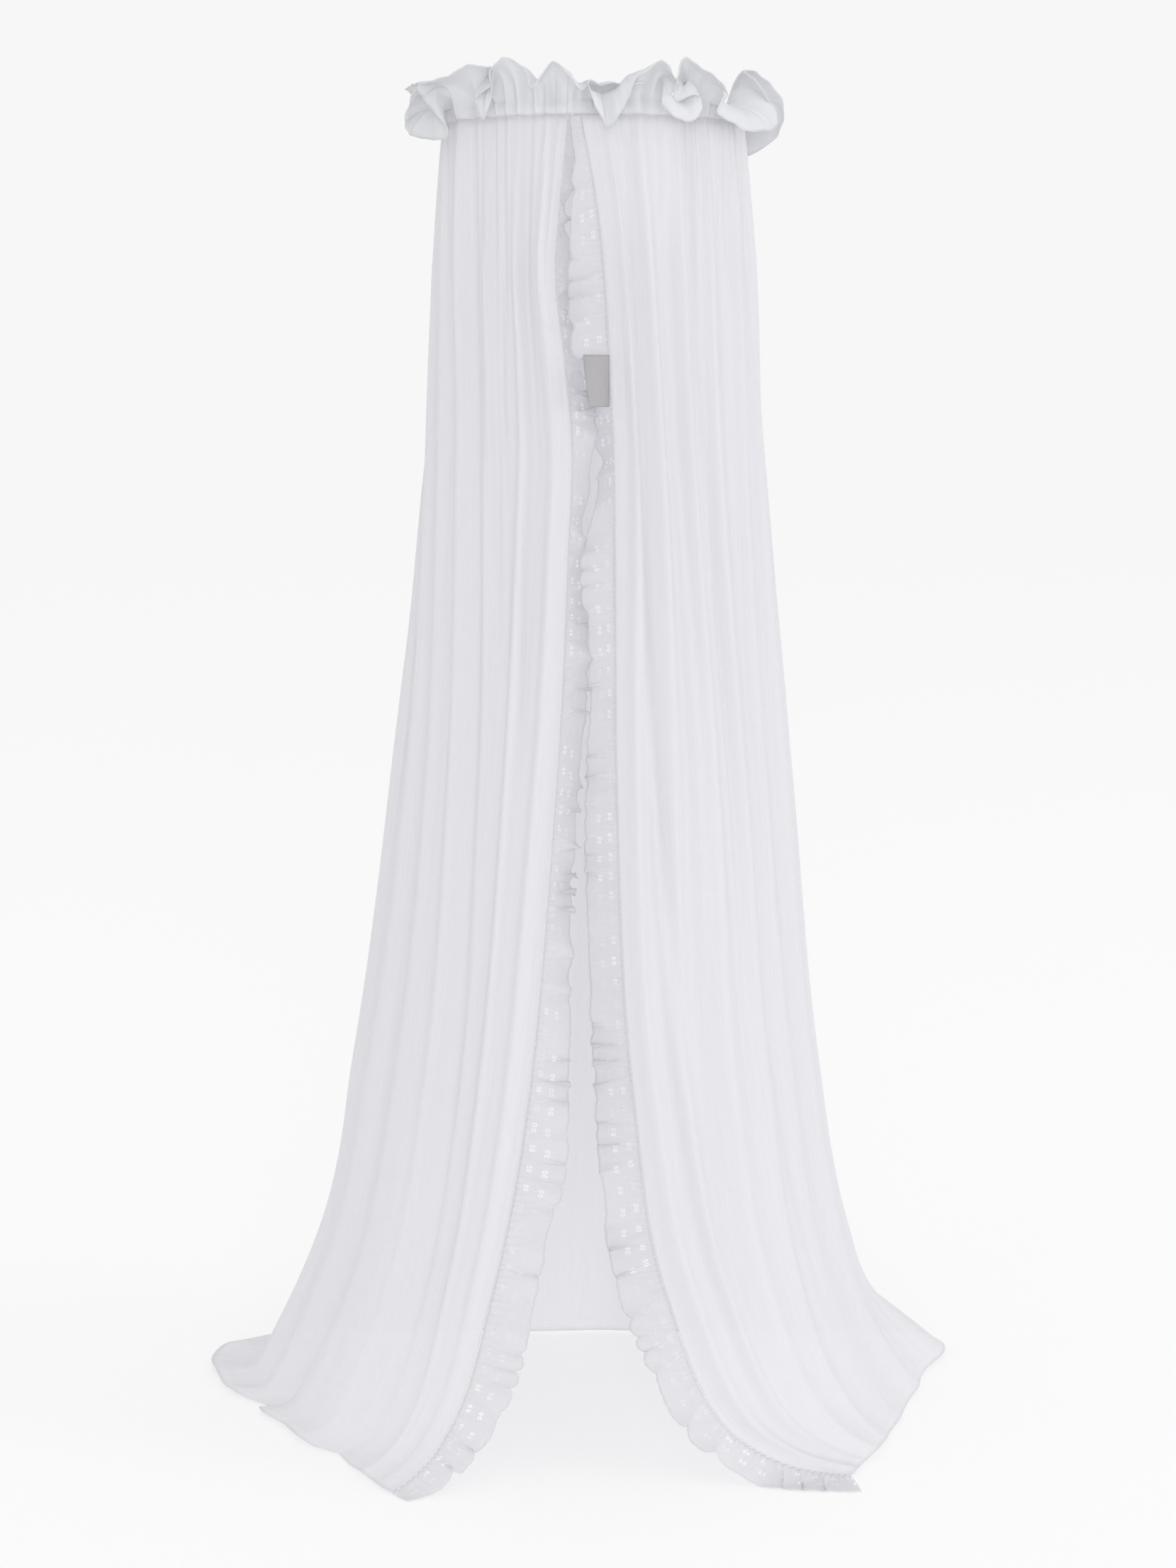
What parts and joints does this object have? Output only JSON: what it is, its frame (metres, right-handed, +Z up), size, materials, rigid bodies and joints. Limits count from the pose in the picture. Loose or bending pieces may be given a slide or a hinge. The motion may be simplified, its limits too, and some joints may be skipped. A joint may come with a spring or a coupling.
{
  "type": "bed canopy",
  "caption": "Sheer bed canopy gathered on a round hoop, open at the front, with a ruffled heading, eyelet trims down the front edges and a trailing hem.",
  "frame": {"origin": "the middle of the hoop that the cloth is gathered on, in the plane of the gathering seam", "axes": "+Z up, +X to the right as seen from the front, and the front opening faces -Y"},
  "size_m": [0.8995, 0.5696, 1.5272],
  "materials": {
    "muslin": "sheer plain-woven white muslin, matt, slightly see-through, softly gathered",
    "frill_muslin": "the same white muslin doubled over, matt and less see-through",
    "eyelet_lace": "white cotton with small embroidered eyelets, gathered into a ruffle",
    "label_weave": "plain grey woven tape with no print"
  },
  "bodies": {
    "root": {"canopy_cloth": "muslin", "heading_frill": "frill_muslin", "left_trim": "eyelet_lace", "right_trim": "eyelet_lace", "label": "label_weave"}
  },
  "joints": []
}
